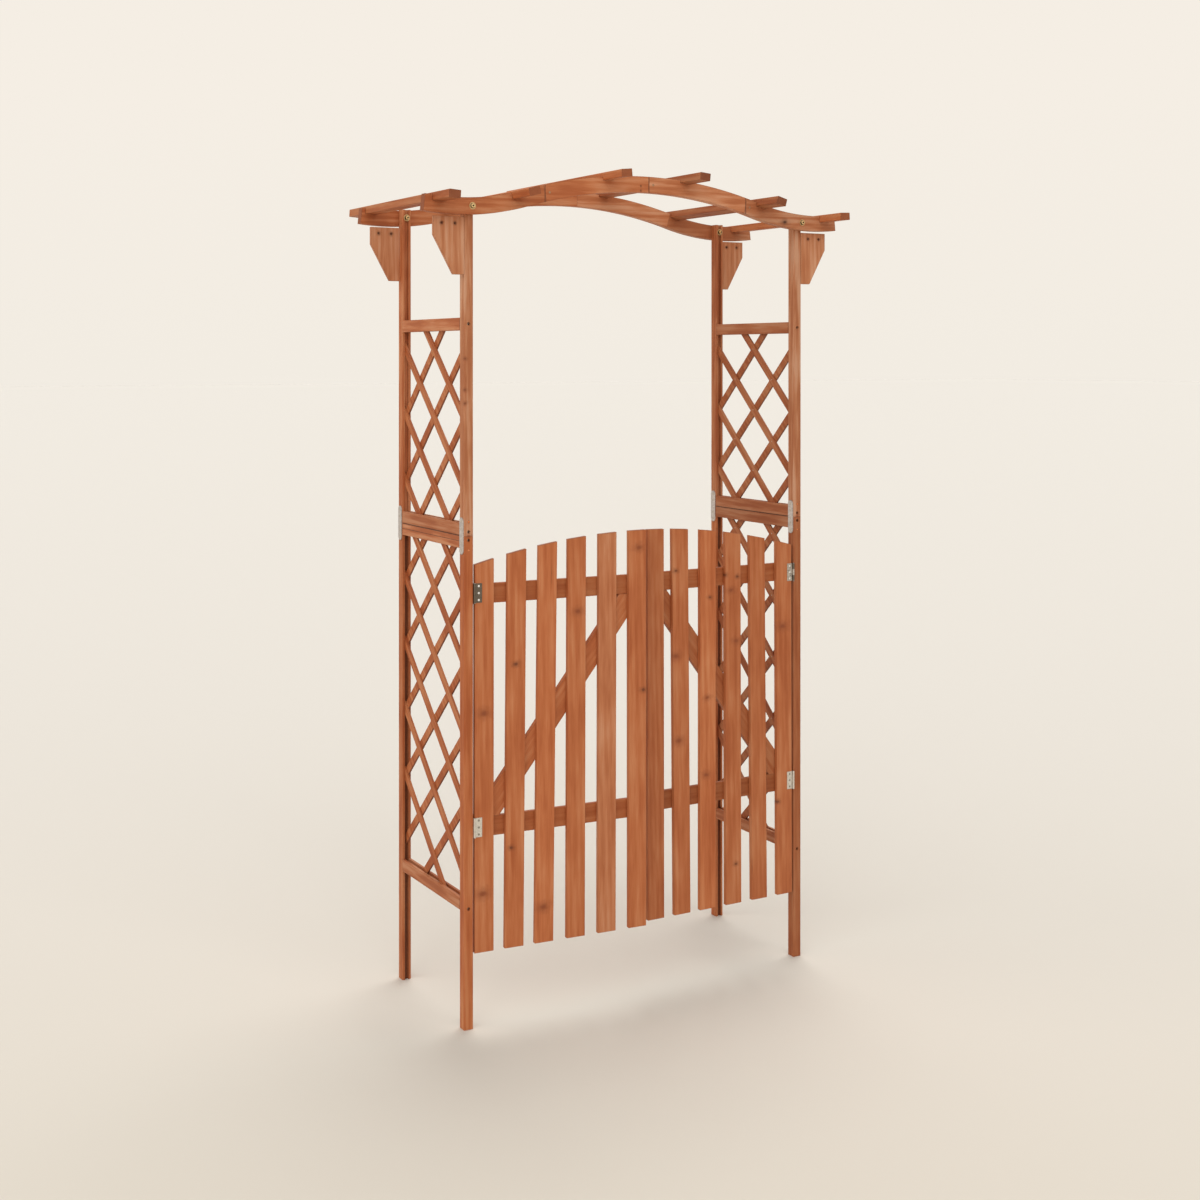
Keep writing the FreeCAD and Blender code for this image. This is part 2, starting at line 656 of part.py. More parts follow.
def knuckle_spans():
    """Height spans of the two outer knuckles and of the middle one."""
    half = HINGE_HEIGHT / 2
    third = HINGE_HEIGHT / 6
    gap = KNUCKLE_GAP / 2
    outer = [(-half, -third - gap), (third + gap, half)]
    middle = [(-third + gap, third - gap)]
    return outer, middle


def at_left_hinge(shape, height):
    shape.translate(FreeCAD.Vector(-HINGE_X, HINGE_Y, height))
    return shape


def leaf_lift(side):
    """How much higher than the right one a leaf hangs with its hinges."""
    return LEFT_LEAF_LIFT if side < 0 else 0.0


def hinge_heights(side):
    """Middles of the lower and the upper hinge of a leaf, before it is lifted."""
    low, high = HINGE_HEIGHTS
    return low, high - (0.0 if side < 0 else RIGHT_TOP_HINGE_DROP)


def build_hinge(height):
    """Post leaf, gate leaf and pin of one hinge on the left post."""
    outer, middle = knuckle_spans()
    post_leaf = hinge_leaf(outer)
    post_leaf.rotate(ORIGIN, UP, 90)
    pieces = (post_leaf, hinge_leaf(middle), hinge_pin())
    return [at_left_hinge(piece, height) for piece in pieces]


def hinge_screw_places(height):
    """Head places on the post leaf and on the gate leaf of a left hinge."""
    on_post = []
    on_gate = []
    for rise in (-HINGE_SCREW_SPREAD, 0.0, HINGE_SCREW_SPREAD):
        level = height + rise
        on_post.append(FreeCAD.Vector(-OPENING_HALF_WIDTH + HINGE_LEAF_THICKNESS,
                                      HINGE_Y + HINGE_SCREW_REACH, level))
        on_gate.append(FreeCAD.Vector(-HINGE_X + HINGE_SCREW_REACH,
                                      FRONT_FACE - HINGE_LEAF_THICKNESS, level))
    return on_post, on_gate


def build_gate_leaf(side, strays):
    """Every piece of one closed gate leaf on the left, drilled and screwed."""
    places = gate_screw_places(strays)
    screws = [screw(GATE_SCREW, place, TO_BACK * -1) for place in places]
    holes = [screw_hole(GATE_SCREW, place, TO_BACK * -1) for place in places]
    leaves = []
    for height in hinge_heights(side):
        leaves.append(build_hinge(height)[1])
        for place in hinge_screw_places(height)[1]:
            screws.append(screw(HINGE_LEAF_SCREW, place, TO_BACK))
            holes.append(screw_hole(HINGE_LEAF_SCREW, place, TO_BACK))
    pieces = {}
    for number in range(PICKET_COUNT):
        pieces["gate_picket_%d" % (number + 1)] = [drilled(picket(number, strays), holes)]
    pieces["gate_bottom_rail"] = [drilled(gate_rail(GATE_BOTTOM_RAIL_LIFT, strays), holes)]
    pieces["gate_top_rail"] = [drilled(gate_rail(GATE_TOP_RAIL_LIFT, strays), holes)]
    pieces["gate_brace"] = [drilled(brace(), holes)]
    pieces["gate_hinge_leaves"] = [drilled(leaf, holes) for leaf in leaves]
    pieces["gate_screws"] = screws
    return pieces


def build_gates():
    left = build_gate_leaf(-1, LEFT_PICKET_STRAYS)
    for name, solids in left.items():
        for solid in solids:
            solid.rotate(FreeCAD.Vector(-HINGE_X, HINGE_Y, 0), UP, -LEFT_LEAF_AJAR)
            solid.translate(UP * leaf_lift(-1))
        export("left_" + name, solids)
    right = build_gate_leaf(1, RIGHT_PICKET_STRAYS)
    for name, solids in right.items():
        export("right_" + name, [mirrored(solid) for solid in solids])


# Fixed frame, put together in the order it is built

def collect_frame_screws():
    for _, side in SIDES:
        for _, face in FACES:
            rail_screws(side, face)
            plate_screws(side, face)
    beam_middle = (OUTER_DEPTH + BEAM_THICKNESS) / 2
    for x, depth in batten_places():
        top = on_beam(x, BEAM_DEPTH / 2 - depth + BATTEN_THICKNESS)
        for face in (-1, 1):
            frame_screw(BATTEN_SCREW, top + TO_BACK * (face * beam_middle), beam_normal(x) * -1)
    for seam in beam_seams():
        for face in (-1, 1):
            outer = face * (OUTER_DEPTH / 2 + BEAM_THICKNESS)
            place = on_beam(seam + BEAM_LAP / 2) + TO_BACK * outer
            frame_screw(LAP_SCREW, place, TO_BACK * -face)
    for _, side in SIDES:
        for height in hinge_heights(side):
            for place in hinge_screw_places(height + leaf_lift(side))[0]:
                place = FreeCAD.Vector(-side * place.x, place.y, place.z)
                frame_screw(HINGE_POST_SCREW, place, TO_RIGHT * side)


def build_frame():
    dowel_holes = []
    brackets = []
    bolts = []
    holes = list(frame_holes)
    for _, side in SIDES:
        for _, face in FACES:
            bolts += placed_bolts(side, face)
            holes.append(bolt_hole(side, face))
            corner_holes = [at_corner(hole, side, face) for hole in
                            front_right_dowels(DOWEL_RADIUS + DOWEL_PLAY,
                                               DOWEL_LENGTH + 2 * DOWEL_PLAY)]
            dowel_holes += corner_holes
            bracket = at_corner(front_right_bracket(), side, face)
            brackets.append(drilled(bracket, corner_holes))
            brackets += [at_corner(dowel, side, face) for dowel in
                         front_right_dowels(DOWEL_RADIUS, DOWEL_LENGTH)]
    holes += dowel_holes

    for side_name, side in SIDES:
        for face_name, face in FACES:
            name = side_name + "_" + face_name + "_post_"
            lower = post(side, face, 0, LOWER_POST_HEIGHT)
            upper = post(side, face, LOWER_POST_HEIGHT, POST_HEIGHT)
            export(name + "lower", [drilled(lower, holes)])
            export(name + "upper", [drilled(upper, holes)])
        rails = (("bottom", BOTTOM_RAIL_LIFT, True),
                 ("lower_middle", LOWER_POST_HEIGHT - RAIL_HEIGHT, False),
                 ("upper_middle", LOWER_POST_HEIGHT, True),
                 ("top", TOP_RAIL_LIFT, False))
        for rail_name, lift, groove_up in rails:
            export(side_name + "_panel_rail_" + rail_name,
                   [drilled(rail(side, lift, groove_up), holes)])
        slats = lattice(side, BOTTOM_RAIL_LIFT + RAIL_HEIGHT, LOWER_POST_HEIGHT - RAIL_HEIGHT,
                        LOWER_LATTICE_START, LOWER_LATTICE_PAIRS)
        slats += lattice(side, LOWER_POST_HEIGHT + RAIL_HEIGHT, TOP_RAIL_LIFT,
                         UPPER_LATTICE_START, UPPER_LATTICE_PAIRS)
        export(side_name + "_lattice_slats", slats)

    plates = [drilled(splice_plate(side, face), holes) for _, side in SIDES for _, face in FACES]
    export("splice_plates", plates)
    export("corner_brackets", brackets)
    export("beam_bolts", bolts)
    return holes


def build_roof(holes):
    notches = [batten_notch(x, depth) for x, depth in batten_places()]
    for number, segment in enumerate(beam_segments(FRONT_BEAM_TRIMS, notches), 1):
        export("front_beam_%d" % number, [drilled(segment, holes)])
    for number, segment in enumerate(beam_segments(BACK_BEAM_TRIMS, notches), 1):
        segment = segment.mirror(ORIGIN, TO_BACK)
        export("back_beam_%d" % number, [drilled(segment, holes)])
    for number, (x, depth) in enumerate(batten_places(), 1):
        export("roof_batten_%d" % number, [drilled(batten(x, depth), holes)])


def build_post_hinges(holes):
    leaves = []
    pins = []
    for _, side in SIDES:
        for height in hinge_heights(side):
            post_leaf, _, pin = build_hinge(height + leaf_lift(side))
            leaves.append(post_leaf if side < 0 else mirrored(post_leaf))
            pins.append(pin if side < 0 else mirrored(pin))
    export("hinge_post_leaves", [drilled(leaf, holes) for leaf in leaves])
    export("hinge_pins", pins)


os.makedirs("parts", exist_ok=True)
collect_frame_screws()
all_holes = build_frame()
build_roof(all_holes)
build_post_hinges(all_holes)
export("frame_screws", frame_screws)
build_gates()
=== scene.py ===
import bpy
import math
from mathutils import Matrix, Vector


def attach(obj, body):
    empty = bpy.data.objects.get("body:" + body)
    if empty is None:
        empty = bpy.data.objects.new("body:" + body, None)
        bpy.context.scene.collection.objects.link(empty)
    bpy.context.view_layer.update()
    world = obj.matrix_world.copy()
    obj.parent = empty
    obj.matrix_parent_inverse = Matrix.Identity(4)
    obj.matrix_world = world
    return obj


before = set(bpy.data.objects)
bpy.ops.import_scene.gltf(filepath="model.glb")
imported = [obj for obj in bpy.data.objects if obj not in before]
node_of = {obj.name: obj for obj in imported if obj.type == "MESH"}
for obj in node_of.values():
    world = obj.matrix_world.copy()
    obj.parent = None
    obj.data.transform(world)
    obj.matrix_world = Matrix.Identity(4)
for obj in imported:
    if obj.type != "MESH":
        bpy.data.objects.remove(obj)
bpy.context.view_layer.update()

# Camera: stands in front of the arch on its left, level, at eye height.
# The shift frames the whole arch with its uprights kept parallel.
view = bpy.data.cameras.new("photo_view")
view.sensor_width = 36.0
view.lens = 48.14
view.shift_x = 0.0641
view.shift_y = -0.1983
view.clip_end = 200.0
camera = bpy.data.objects.new("photo_view", view)
camera.location = (-2.1930, -3.5771, 1.5879)
camera.rotation_euler = (math.radians(89.875), 0.0, math.radians(-28.648))
bpy.context.scene.collection.objects.link(camera)
bpy.context.scene.camera = camera
bpy.context.scene.view_settings.view_transform = "Standard"


# Studio light: two wide soft lamps from the front left, and one from above and behind
# that lays the arch's shadow in front of it. Each lights the floor evenly to the horizon.
def soft_sun(name, strength, turn, height, spread, colour):
    """A far lamp: its light goes towards turn, from +Y round to +X, and falls by height."""
    lamp = bpy.data.lights.new(name, "SUN")
    lamp.energy = strength
    lamp.angle = math.radians(spread)
    lamp.color = colour
    sun = bpy.data.objects.new(name, lamp)
    turn, height = math.radians(turn), math.radians(height)
    towards = Vector((math.sin(turn), math.cos(turn), -math.tan(height)))
    sun.rotation_euler = towards.to_track_quat("-Z", "Y").to_euler()
    bpy.context.scene.collection.objects.link(sun)


WARM_LIGHT = (1.0, 0.985, 0.96)
WHITE_LIGHT = (1.0, 0.99, 0.97)
soft_sun("front_light", strength=1.25, turn=12.0, height=32.0, spread=70.0, colour=WARM_LIGHT)
soft_sun("side_light", strength=1.30, turn=80.0, height=30.0, spread=70.0, colour=WARM_LIGHT)
soft_sun("top_light", strength=1.55, turn=-136.0, height=63.0, spread=38.0, colour=WHITE_LIGHT)


# Backdrop: a warm white wall, seen by the eye and by shiny steel, that gives the
# wood only a weak even fill.
def node(tree, kind, sockets=None, **settings):
    """A new node; each socket is given a value or the output that feeds it."""
    made = tree.nodes.new(kind)
    for name, value in settings.items():
        setattr(made, name, value)
    for name, value in (sockets or {}).items():
        socket = made.inputs[name]
        if isinstance(value, bpy.types.NodeSocket):
            tree.links.new(value, socket)
        else:
            socket.default_value = value
    return made


def maths(tree, operation, *values):
    """The result of one sum on numbers."""
    return node(tree, "ShaderNodeMath", dict(enumerate(values)), operation=operation).outputs[0]


def vector_maths(tree, operation, *values):
    """The result of one sum on vectors: a number for a length, else a vector."""
    result = "Value" if operation in ("LENGTH", "DISTANCE", "DOT_PRODUCT") else "Vector"
    return node(tree, "ShaderNodeVectorMath", dict(enumerate(values)),
                operation=operation).outputs[result]


def stretched(tree, value, given=(0.0, 1.0), wanted=(0.0, 1.0), kind="LINEAR"):
    """The value moved from one range to another, and held within it."""
    ranges = {"Value": value, "From Min": given[0], "From Max": given[1],
              "To Min": wanted[0], "To Max": wanted[1]}
    return node(tree, "ShaderNodeMapRange", ranges, interpolation_type=kind).outputs["Result"]


def blend_colours(tree, share, first, second):
    """A colour that goes from the first to the second with share."""
    first, second = (colour if isinstance(colour, bpy.types.NodeSocket) else (*colour, 1.0)
                     for colour in (first, second))
    return node(tree, "ShaderNodeMix", {"Factor": share, "A": first, "B": second},
                data_type="RGBA").outputs["Result"]


# Painted light: the wall is painted a little lighter upwards, from WALL_LOW to WALL_HIGH.
WALL_LOW = (0.8880, 0.8388, 0.7605)
WALL_HIGH = (0.9131, 0.8550, 0.7758)
WALL_CHANGE = (-0.02, 0.16)
WALL_STRENGTH = 1.0
FILL_COLOUR = (1.0, 0.975, 0.94, 1.0)
FILL_STRENGTH = 0.30

room = bpy.data.worlds.new("pale_room")
room.use_nodes = True
tree = room.node_tree
tree.nodes.clear()
direction = node(tree, "ShaderNodeTexCoord").outputs["Generated"]
height = node(tree, "ShaderNodeSeparateXYZ", {"Vector": direction}).outputs["Z"]
wall_colour = blend_colours(tree, stretched(tree, height, WALL_CHANGE), WALL_LOW, WALL_HIGH)
ray = node(tree, "ShaderNodeLightPath").outputs
shown = maths(tree, "MAXIMUM", ray["Is Camera Ray"], ray["Is Glossy Ray"])
shown = maths(tree, "MAXIMUM", shown, ray["Is Transmission Ray"])
fill = node(tree, "ShaderNodeBackground", {"Color": FILL_COLOUR, "Strength": FILL_STRENGTH})
wall = node(tree, "ShaderNodeBackground", {"Color": wall_colour, "Strength": WALL_STRENGTH})
both = node(tree, "ShaderNodeMixShader", {0: shown, 1: fill.outputs[0], 2: wall.outputs[0]})
node(tree, "ShaderNodeOutputWorld", {"Surface": both.outputs[0]})
bpy.context.scene.world = room


# Floor: a wide pale sheet of paper that meets the wall without a line.
# Painted shade makes it grow a little darker towards one spot on it, well in front of the arch.
# Its colours are divided by the light that falls on it, so they look as written.
FLOOR_REACH = 90.0
FLOOR_CORNERS = ((-1, -1), (1, -1), (1, 1), (-1, 1))
FLOOR_FAR = WALL_LOW
FLOOR_MIDDLE = (0.8465, 0.7910, 0.7086)
FLOOR_NEAR = (0.7900, 0.7210, 0.6140)
MIDDLE_STOP = 0.41
FLOOR_SHADE_SPOT = (-2.19, -3.58, 0.0)
FLOOR_SHADE_REACH = 3.05
FLOOR_LIGHT = (1.151, 1.134, 1.104)


def bare_material(name):
    """A material and its empty tree of nodes."""
    material = bpy.data.materials.new(name)
    material.use_nodes = True
    material.node_tree.nodes.clear()
    return material, material.node_tree


def ramped_colour(tree, share, stops):
    """A colour that runs through stops, each a share and a colour, in rising order."""
    ramp = node(tree, "ShaderNodeValToRGB", {"Fac": share})
    points = ramp.color_ramp.elements
    points.remove(points[1])
    for number, (position, colour) in enumerate(stops):
        point = points.new(position) if number else points[0]
        point.position = position
        point.color = (*colour, 1.0)
    return ramp.outputs["Color"]


floor_mesh = bpy.data.meshes.new("floor")
floor_mesh.from_pydata([(x * FLOOR_REACH, y * FLOOR_REACH, 0.0) for x, y in FLOOR_CORNERS],
                       [], [(0, 1, 2, 3)])
floor = bpy.data.objects.new("floor", floor_mesh)
bpy.context.scene.collection.objects.link(floor)
paper, tree = bare_material("studio_floor")
spot = node(tree, "ShaderNodeTexCoord").outputs["Object"]
# Painted shade: the floor's colour darkens the nearer it lies to the spot.
near = maths(tree, "DIVIDE", FLOOR_SHADE_REACH, vector_maths(tree, "DISTANCE", spot, FLOOR_SHADE_SPOT))
painted = ramped_colour(tree, near, ((0.0, FLOOR_FAR), (MIDDLE_STOP, FLOOR_MIDDLE),
                                     (1.0, FLOOR_NEAR)))
dimmed = vector_maths(tree, "DIVIDE", painted, FLOOR_LIGHT)
matt = node(tree, "ShaderNodeBsdfDiffuse", {"Color": dimmed})
node(tree, "ShaderNodeOutputMaterial", {"Surface": matt.outputs[0]})
floor_mesh.materials.append(paper)


# Posts: four square pine sticks, each in two lengths, stained reddish brown.
# Planed and eased at the corners, which are painted darker as painted shade; the sawn ends take
# the stain darker.
LIGHT_WOOD = (0.515, 0.198, 0.083)
MIDDLE_WOOD = (0.440, 0.132, 0.043)
DEEP_WOOD = (0.352, 0.088, 0.024)
DARK_KNOT = (0.235, 0.058, 0.018)
EDGE_SHADE_COLOUR = (0.120, 0.050, 0.028)
DARK_HOLE = (0.050, 0.015, 0.006)
SAWN_END = (0.240, 0.066, 0.023)
GREYED = (0.92, 1.36, 2.05)
UPRIGHT = (0, 0, 1)
ACROSS = (1, 0, 0)
THROUGH = (0, 1, 0)


def mark_group():
    """A dark mark in a board, with a soft halo, as a mask round its centre."""
    group = bpy.data.node_groups.new("wood_mark", "ShaderNodeTree")
    for name in ("Vector", "Centre", "Squeeze"):
        group.interface.new_socket(name, in_out="INPUT", socket_type="NodeSocketVector")
    group.interface.new_socket("Size", in_out="INPUT", socket_type="NodeSocketFloat")
    group.interface.new_socket("Mask", in_out="OUTPUT", socket_type="NodeSocketFloat")
    given = group.nodes.new("NodeGroupInput").outputs
    offset = vector_maths(group, "SUBTRACT", given["Vector"], given["Centre"])
    flat = vector_maths(group, "MULTIPLY", offset, given["Squeeze"])
    ripple = node(group, "ShaderNodeTexNoise", {"Vector": given["Vector"], "Scale": 130.0,
                                                "Detail": 2.0})
    uneven = stretched(group, ripple.outputs["Fac"], wanted=(0.45, 1.55))
    away = maths(group, "MULTIPLY", vector_maths(group, "LENGTH", flat), uneven)
    share = maths(group, "DIVIDE", away, given["Size"])
    core = stretched(group, share, (0.1, 0.9), (0.50, 0.0), "SMOOTHSTEP")
    halo = stretched(group, share, (0.3, 2.2), (0.45, 0.0), "SMOOTHSTEP")
    node(group, "NodeGroupOutput", {"Mask": maths(group, "ADD", core, halo)})
    return group


wood_mark = mark_group()
KNOT = ((0.68, 0.0, 1.0), DARK_KNOT)
SMALL_KNOT = ((0.68, 0.0, 1.0), (0.130, 0.034, 0.012))
CORNER_KNOT = ((0.68, 0.68, 1.0), (0.190, 0.050, 0.018))
CRACK = ((3.0, 0.0, 0.09), (0.120, 0.034, 0.013))
# Painted shade inside the lattice groove of the posts.
GROOVE_SHADE = ((1.0, 1.0, 0.0), (0.095, 0.025, 0.008))
LEVEL_SEAM = ((0.0, 0.0, 1.0), (0.060, 0.020, 0.010))
UPRIGHT_SEAM = ((1.0, 0.15, 0.0), (0.060, 0.020, 0.010))
# Painted shade inside sunk nail and screw holes.
SHADED_NAIL_HOLE = ((1.0, 0.0, 1.0), DARK_HOLE)
DARK_PLUG = ((0.68, 0.0, 1.0), DARK_HOLE)


def toned(colour, tone, greyed):
    """A stain colour made lighter with tone, and faded towards grey brown with greyed."""
    return [tone * value * (1 + greyed * (shift - 1)) for value, shift in zip(colour, GREYED)]


def grain_turn(along):
    """The turn from an upright grain to a grain along the given direction."""
    return Vector(UPRIGHT).rotation_difference(Vector(along)).to_euler()


CORNER_BEND = (0.72, 0.99)


def corner_mask(tree, reach, strength):
    """A mask that has its strength at a piece's corners and fades within the reach."""
    softened = node(tree, "ShaderNodeBevel", {"Radius": reach}, samples=4)
    flat = node(tree, "ShaderNodeNewGeometry").outputs["True Normal"]
    bend = vector_maths(tree, "DOT_PRODUCT", softened.outputs["Normal"], flat)
    return stretched(tree, bend, CORNER_BEND, (strength, 0.0))


SEED_SHIFT = (1.0, 0.37, 0.61)
PATCH_SHARE = 0.75
RING_SHARE = 0.12
FIBRE_SHARE = 0.42
GRAIN_SHARE = 0.45
GRAIN_MIDDLE = 0.51
PALE_REACH = 0.15
DEEP_REACH = 0.13
GRAIN_DEPTH = 0.0005
END_FACING = (0.8, 0.95)
END_STRENGTH = 0.85
# Painted shade along the eased corners: how far it reaches in and how dark it gets.
EDGE_SHADE_REACH = 0.0022
EDGE_SHADE_STRENGTH = 0.78
PINE_ROUGHNESS = (0.52, 0.74)


def stained_pine(name, along, tone=1.0, greyed=0.0, marks=(), seed=0.0, crossed=None,
                 figure=1.0):
    """Reddish brown stained pine with its grain along one direction of the object.

    tone and greyed are those of toned, and seed moves the grain about.
    marks are dark places, each a centre, a size and a kind, such as KNOT.
    crossed is a second direction and the X beyond which the grain follows it.
    figure makes the light and dark of the grain stronger.
    """
    material, tree = bare_material(name)
    here = node(tree, "ShaderNodeTexCoord").outputs
    turn = grain_turn(along)
    if crossed:
        place = node(tree, "ShaderNodeSeparateXYZ", {"Vector": here["Object"]})
        beyond = maths(tree, "GREATER_THAN", place.outputs["X"], crossed[1])
        turn = node(tree, "ShaderNodeMix", {"Factor": beyond, "A": turn,
                                            "B": grain_turn(crossed[0])},
                    data_type="VECTOR").outputs["Result"]

    def grain_space(stretch):
        sockets = {"Vector": here["Object"], "Location": [seed * way for way in SEED_SHIFT],
                   "Rotation": turn, "Scale": (1.0, 1.0, stretch)}
        return node(tree, "ShaderNodeMapping", sockets, vector_type="TEXTURE").outputs["Vector"]

    streaks = node(tree, "ShaderNodeTexNoise", {
        "Vector": grain_space(14.0), "Scale": 70.0, "Detail": 3.0, "Roughness": 0.55})
    patches = node(tree, "ShaderNodeTexNoise", {
        "Vector": grain_space(2.5), "Scale": 16.0, "Detail": 2.0, "Roughness": 0.5})
    rings = node(tree, "ShaderNodeTexWave", {
        "Vector": grain_space(34.0), "Scale": 42.0, "Distortion": 4.5, "Detail": 2.0,
        "Detail Scale": 0.8, "Detail Roughness": 0.6},
        wave_type="BANDS", bands_direction="DIAGONAL", wave_profile="SIN")
    fibres = node(tree, "ShaderNodeTexNoise", {
        "Vector": grain_space(40.0), "Scale": 900.0, "Detail": 2.0, "Roughness": 0.6})
    depth = streaks.outputs["Fac"]
    for layer, share in ((patches, PATCH_SHARE), (rings, RING_SHARE), (fibres, FIBRE_SHARE)):
        depth = maths(tree, "MULTIPLY_ADD", layer.outputs["Fac"], share, depth)
    colour = ramped_colour(tree, maths(tree, "MULTIPLY", depth, GRAIN_SHARE), (
        (GRAIN_MIDDLE - PALE_REACH / figure, toned(LIGHT_WOOD, tone, greyed)),
        (GRAIN_MIDDLE, toned(MIDDLE_WOOD, tone, greyed)),
        (GRAIN_MIDDLE + DEEP_REACH / figure, toned(DEEP_WOOD, tone, greyed))))

    for centre, size, (squeeze, stain) in marks:
        mark = node(tree, "ShaderNodeGroup", {
            "Vector": here["Object"], "Centre": centre, "Squeeze": squeeze, "Size": size},
            node_tree=wood_mark)
        colour = blend_colours(tree, mark.outputs["Mask"], colour, stain)

    facing = vector_maths(tree, "DOT_PRODUCT", here["Normal"], tuple(along))
    sawn = stretched(tree, maths(tree, "ABSOLUTE", facing), END_FACING, (0.0, END_STRENGTH))
    colour = blend_colours(tree, sawn, colour, toned(SAWN_END, tone, greyed))
    # Painted shade: the colour darkens along the eased corners of each piece.
    edge = corner_mask(tree, EDGE_SHADE_REACH, EDGE_SHADE_STRENGTH)
    colour = blend_colours(tree, edge, colour, EDGE_SHADE_COLOUR)

    rough = stretched(tree, fibres.outputs["Fac"], wanted=PINE_ROUGHNESS)
    relief = node(tree, "ShaderNodeBump", {"Height": depth, "Strength": 0.25,
                                           "Distance": GRAIN_DEPTH})
    skin = node(tree, "ShaderNodeBsdfPrincipled", {
        "Base Color": colour, "Roughness": rough, "Normal": relief.outputs["Normal"],
        "Specular IOR Level": 0.30})
    node(tree, "ShaderNodeOutputMaterial", {"Surface": skin.outputs[0]})
    return material


def dress(node_name, material):
    """Give a solid of the frame one material all over."""
    for held in node_of[node_name].material_slots:
        held.material = material


PANEL_MIDDLE = 0.488
GROOVE_BED = 0.170
GROOVE_SHADE_REACH = 0.006
POST_FACE = 0.188
SPLICE_HEIGHT = 1.168
SPLICE_STAIN = 0.005
CORNER_KNOT_X = -0.498
CORNER_KNOT_SIZE = 0.004
CORNER_KNOT_HEIGHTS = (1.588, 1.514, 1.482)
# Tone and greyness of each post piece; the lower right front post is toned darker as painted
# shade beside the gate.
POST_TONES_AND_SHADE = {"left_front_post_lower": (1.00, -0.1), "left_front_post_upper": (1.13, 0.7),
              "left_back_post_lower": (0.93, 0.0), "left_back_post_upper": (1.05, 0.1),
              "right_front_post_lower": (0.75, 0.0), "right_front_post_upper": (1.07, 0.7),
              "right_back_post_lower": (1.05, 0.0), "right_back_post_upper": (0.90, 0.1)}
for number, (post, (tone, greyed)) in enumerate(POST_TONES_AND_SHADE.items()):
    middle = -PANEL_MIDDLE if post.startswith("left") else PANEL_MIDDLE
    outwards = -1 if "_front_" in post else 1
    marks = [((middle, outwards * POST_FACE, SPLICE_HEIGHT), SPLICE_STAIN, KNOT)]
    # The lower posts get a dark line down the lattice groove: painted shade in the groove.
    if post.endswith("lower"):
        marks.append(((middle, outwards * GROOVE_BED, 0), GROOVE_SHADE_REACH, GROOVE_SHADE))
    elif post == "left_front_post_upper":
        marks += [((CORNER_KNOT_X, -POST_FACE, height), CORNER_KNOT_SIZE, CORNER_KNOT)
                  for height in CORNER_KNOT_HEIGHTS]
    dress(post, stained_pine(post + "_pine", UPRIGHT, tone, greyed, marks, seed=0.31 + number,
                             figure=1.8 if post.endswith("upper") else 1.2))


# Panel rails: four short sticks between the posts of each side, screwed through them.
# The same planed pine as the posts, laid flat, grooved above or below for the lattice.
# The two middle rails meet in a dark seam, level with the joints of the posts.
# The right rails are toned darker than the left as painted shade inside the arch.
RAIL_TONES_AND_SHADE = {"left": (0.93, 1.03, 0.90, 1.08), "right": (0.92, 0.77, 0.82, 0.85)}
RAIL_GREYED = 0.2
MIDDLE_SEAM = ((0, 0, SPLICE_HEIGHT), 0.0016, LEVEL_SEAM)
GROOVE_SEAM = ((0, 0, 1.155), 0.0008, LEVEL_SEAM)
for side, tones in RAIL_TONES_AND_SHADE.items():
    for level, tone in zip(("bottom", "lower_middle", "upper_middle", "top"), tones):
        rail = side + "_panel_rail_" + level
        marks = [MIDDLE_SEAM] if level.endswith("middle") else []
        if rail == "left_panel_rail_lower_middle":
            marks.append(GROOVE_SEAM)
        dress(rail, stained_pine(rail + "_pine", THROUGH, tone, RAIL_GREYED, marks,
                                 seed=1.7 + tone, figure=1.9))


# Lattice: thin slats crossed at 45 degrees in two layers, one sloping each way.
# Sawn thinner than the frame and stained a shade darker; each crossing is nailed.
SLAT_STEP = 0.167
SLAT_THICKNESS = 0.0045
SLAT_RISING = (0, 0.7071, 0.7071)
SLAT_FALLING = (0, -0.7071, 0.7071)
NAIL_HEAD = 0.0015
NAIL_RISE = 0.0006
NAIL_MARGIN = 0.012
# The right lattice is toned darker than the left as painted shade inside the arch.
for side, way, tone, greyed in (("left", -1, 0.90, -0.12), ("right", 1, 0.80, 0.0)):
    dress(side + "_lattice_slats",
          stained_pine(side + "_slat_pine", SLAT_RISING, tone, greyed, seed=4.0 + way,
                       crossed=(SLAT_FALLING, way * PANEL_MIDDLE), figure=1.9))

DARKER_RIM = (0.12, 0.09, 0.07)
RIM_STRENGTH = 0.65
SMEAR_SHARE = 0.3
ROUGHNESS_SPREAD = 0.25


def zinc(name, upper, lower=None, border=0.0, rough=0.38, grain=500.0, rim=0.0):
    """Zinc-coated steel: a light and a dark tone in cloudy crystals.

    lower is the pair of tones below the border height, where pieces differ.
    rim is how far a darker edge reaches in from the corners.
    """
    material, tree = bare_material(name)
    here = node(tree, "ShaderNodeTexCoord").outputs["Object"]
    crystals = node(tree, "ShaderNodeTexVoronoi", {"Vector": here, "Scale": grain})
    shade = node(tree, "ShaderNodeSeparateColor", {"Color": crystals.outputs["Color"]})
    smears = node(tree, "ShaderNodeTexNoise", {"Vector": here, "Scale": SMEAR_SHARE * grain,
                                               "Detail": 3.0})
    cloud = maths(tree, "MULTIPLY", shade.outputs["Red"], smears.outputs["Fac"])
    colour = blend_colours(tree, cloud, *upper)
    if lower:
        level = node(tree, "ShaderNodeSeparateXYZ", {"Vector": here}).outputs["Z"]
        below = maths(tree, "LESS_THAN", level, border)
        colour = blend_colours(tree, below, colour, blend_colours(tree, cloud, *lower))
    if rim:
        colour = blend_colours(tree, corner_mask(tree, rim, RIM_STRENGTH), colour, DARKER_RIM)
    dull = stretched(tree, cloud, wanted=(rough, rough + ROUGHNESS_SPREAD))
    skin = node(tree, "ShaderNodeBsdfPrincipled", {
        "Base Color": colour, "Roughness": dull, "Metallic": 0.85})
    node(tree, "ShaderNodeOutputMaterial", {"Surface": skin.outputs[0]})
    return material


